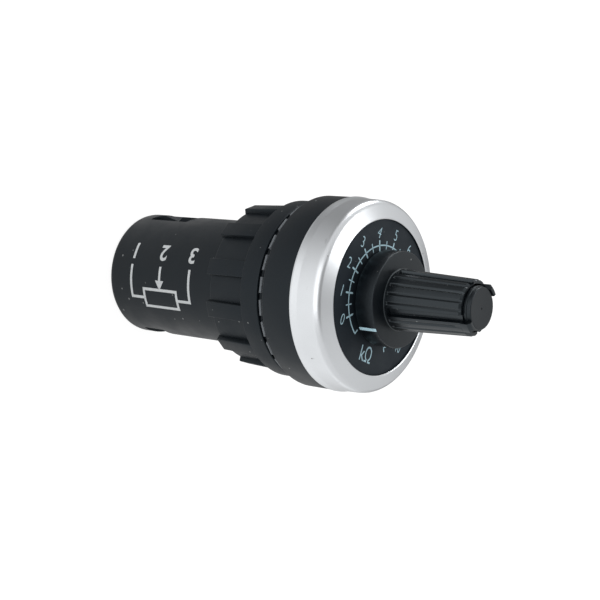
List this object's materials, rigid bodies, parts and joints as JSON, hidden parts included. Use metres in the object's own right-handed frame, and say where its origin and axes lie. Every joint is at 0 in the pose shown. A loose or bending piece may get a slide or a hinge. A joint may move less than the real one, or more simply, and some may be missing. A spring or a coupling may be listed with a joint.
{
  "type": "rotary potentiometer",
  "caption": "Panel-mount rotary potentiometer: fluted knob over a round dial in a silver bezel, threaded tube with ring nut, and a barrel with screw terminals.",
  "frame": {"origin": "on the knob's turning axis, in the plane of the panel's front face, where the head ring bears", "axes": "+Z along the turning axis out of the panel towards the knob, +Y towards the middle of the dial's scale"},
  "size_m": [0.029, 0.029, 0.0649],
  "materials": {
    "black_plastic": "satin moulded plastic",
    "silver_bezel": "satin silver metal",
    "dial_black": "fine matt, printed in pale blue-white",
    "rubber": "matt",
    "knob_plastic": "satin moulded plastic",
    "steel": "zinc plated",
    "die_cast": "cast",
    "wafer": "laminate",
    "carbon": "printed carbon",
    "silvering": "printed silver",
    "rotor_plastic": "natural moulded plastic",
    "spring_bronze": "spring bronze",
    "tinned": "tinned",
    "red_lead": "insulated",
    "yellow_lead": "insulated",
    "blue_lead": "insulated",
    "block_plastic": "moulded plastic",
    "brass": "stamped",
    "nut_plastic": "satin moulded plastic",
    "lock_plastic": "moulded plastic"
  },
  "bodies": {
    "housing": {"housing": "black_plastic", "bezel": "silver_bezel", "dial": "dial_black", "gasket": "rubber", "pot_bushing": "die_cast", "pot_washer": "steel", "pot_nut": "steel", "pot_wafer": "wafer", "carbon_track": "carbon", "collector_ring": "silvering", "pot_cover": "steel", "pot_lug_1": "tinned", "pot_lug_2": "tinned", "pot_lug_3": "tinned", "inner_lead_1": "red_lead", "inner_lead_2": "yellow_lead", "inner_lead_3": "blue_lead", "terminal_block": "block_plastic", "terminal_plate_1": "brass", "terminal_plate_2": "brass", "terminal_plate_3": "brass", "clamp_washer_1": "tinned", "clamp_washer_2": "tinned", "clamp_washer_3": "tinned", "terminal_screw_1": "tinned", "terminal_screw_2": "tinned", "terminal_screw_3": "tinned"},
    "knob": {"knob": "knob_plastic", "knob_cap": "knob_plastic", "pot_shaft": "steel", "shaft_clip": "steel", "rotor": "rotor_plastic", "wiper": "spring_bronze"},
    "lock_ring": {"lock_ring": "lock_plastic"},
    "ring_nut": {"ring_nut": "nut_plastic"}
  },
  "joints": [
    {"name": "knob_turn", "type": "hinge", "parent": "housing", "child": "knob", "pos_m": [0, 0, 0], "axis": [0, 0, -1], "range_deg": [0, 290]},
    {"name": "nut_travel", "type": "slide", "parent": "housing", "child": "lock_ring", "axis": [0, 0, -1], "range_m": [0, 0.006]},
    {"name": "nut_turn", "type": "hinge", "parent": "lock_ring", "child": "ring_nut", "pos_m": [0, 0, 0], "axis": [0, 0, -1], "range_deg": [0, 1440]}
  ],
  "couplings": [
    {"joint": "nut_turn", "follows": "nut_travel", "rad_per_m": 4188.8}
  ]
}
